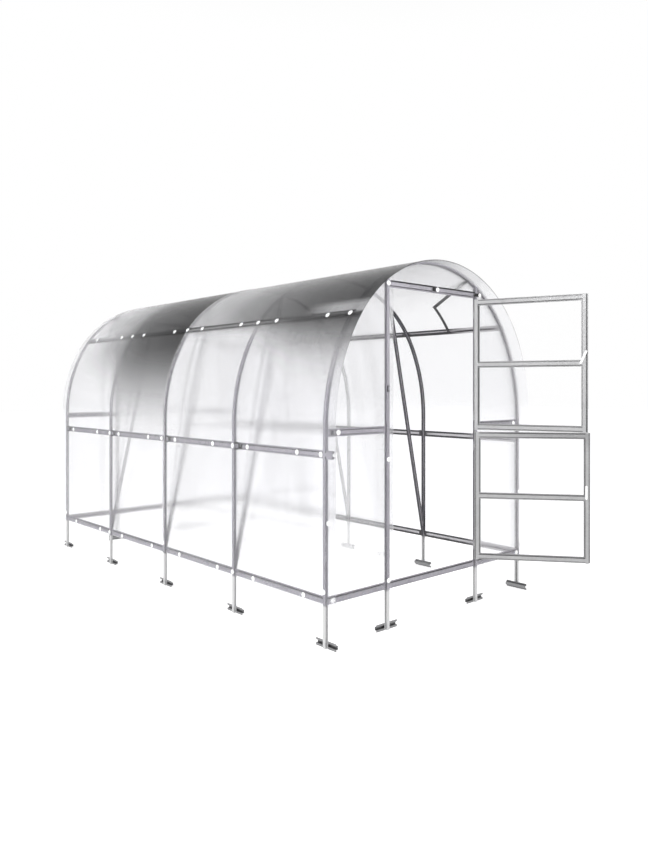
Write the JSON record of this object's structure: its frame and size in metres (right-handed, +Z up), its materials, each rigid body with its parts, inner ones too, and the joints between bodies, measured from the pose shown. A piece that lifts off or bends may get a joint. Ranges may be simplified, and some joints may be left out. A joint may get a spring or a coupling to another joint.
{
  "type": "polycarbonate greenhouse",
  "caption": "Arched walk-in garden greenhouse: galvanised steel hoops on legs, twin-wall polycarbonate over roof and gables, and a split stable door.",
  "frame": {"origin": "on the ground under the middle of the box that the open greenhouse fills, door leaves included", "axes": "+X to the right as one faces the door from outside, +Y along the house from the door to the rear gable, +Z up"},
  "size_m": [2.0172, 4.9294, 2.4696],
  "materials": {
    "steel": "galvanised, satin",
    "roof_polycarbonate": "translucent twin-wall sheet",
    "gable_polycarbonate": "translucent twin-wall sheet",
    "leaf_polycarbonate": "clear twin-wall sheet",
    "white_plastic": "moulded, matte"
  },
  "bodies": {
    "frame": {"front_hoop": "steel", "second_hoop": "steel", "middle_hoop": "steel", "fourth_hoop": "steel", "rear_hoop": "steel", "left_base_rail": "steel", "right_base_rail": "steel", "left_side_rail": "steel", "right_side_rail": "steel", "left_purlin": "steel", "right_purlin": "steel", "left_struts": "steel", "right_struts": "steel", "roof_brace": "steel", "left_feet": "steel", "right_feet": "steel", "front_post_feet": "steel", "rear_post_feet": "steel", "left_door_post": "steel", "right_door_post": "steel", "door_lintel": "steel", "front_base_rail": "steel", "front_gable_rails": "steel", "rear_left_post": "steel", "rear_right_post": "steel", "rear_lintel": "steel", "rear_base_rail": "steel", "rear_gable_rails": "steel", "front_roof_sheet": "roof_polycarbonate", "rear_roof_sheet": "roof_polycarbonate", "left_gable_sheet": "gable_polycarbonate", "right_gable_sheet": "gable_polycarbonate", "transom_sheet": "gable_polycarbonate", "rear_gable_sheet": "gable_polycarbonate", "post_hinges": "steel"},
    "upper_door": {"upper_leaf_stiles": "steel", "upper_leaf_rails": "steel", "upper_leaf_pane": "leaf_polycarbonate", "upper_leaf_hinges": "steel", "upper_latch": "white_plastic"},
    "lower_door": {"lower_leaf_stiles": "steel", "lower_leaf_rails": "steel", "lower_leaf_pane": "leaf_polycarbonate", "lower_leaf_hinges": "steel", "lower_latch": "white_plastic"}
  },
  "joints": [
    {"name": "upper_door_hinge", "type": "hinge", "parent": "frame", "child": "upper_door", "pos_m": [0.41, -1.6777, 1.8], "axis": [0, 0, 1], "range_deg": [-109, 31]},
    {"name": "lower_door_hinge", "type": "hinge", "parent": "frame", "child": "lower_door", "pos_m": [0.41, -1.6777, 0.8], "axis": [0, 0, 1], "range_deg": [-126, 14]}
  ]
}
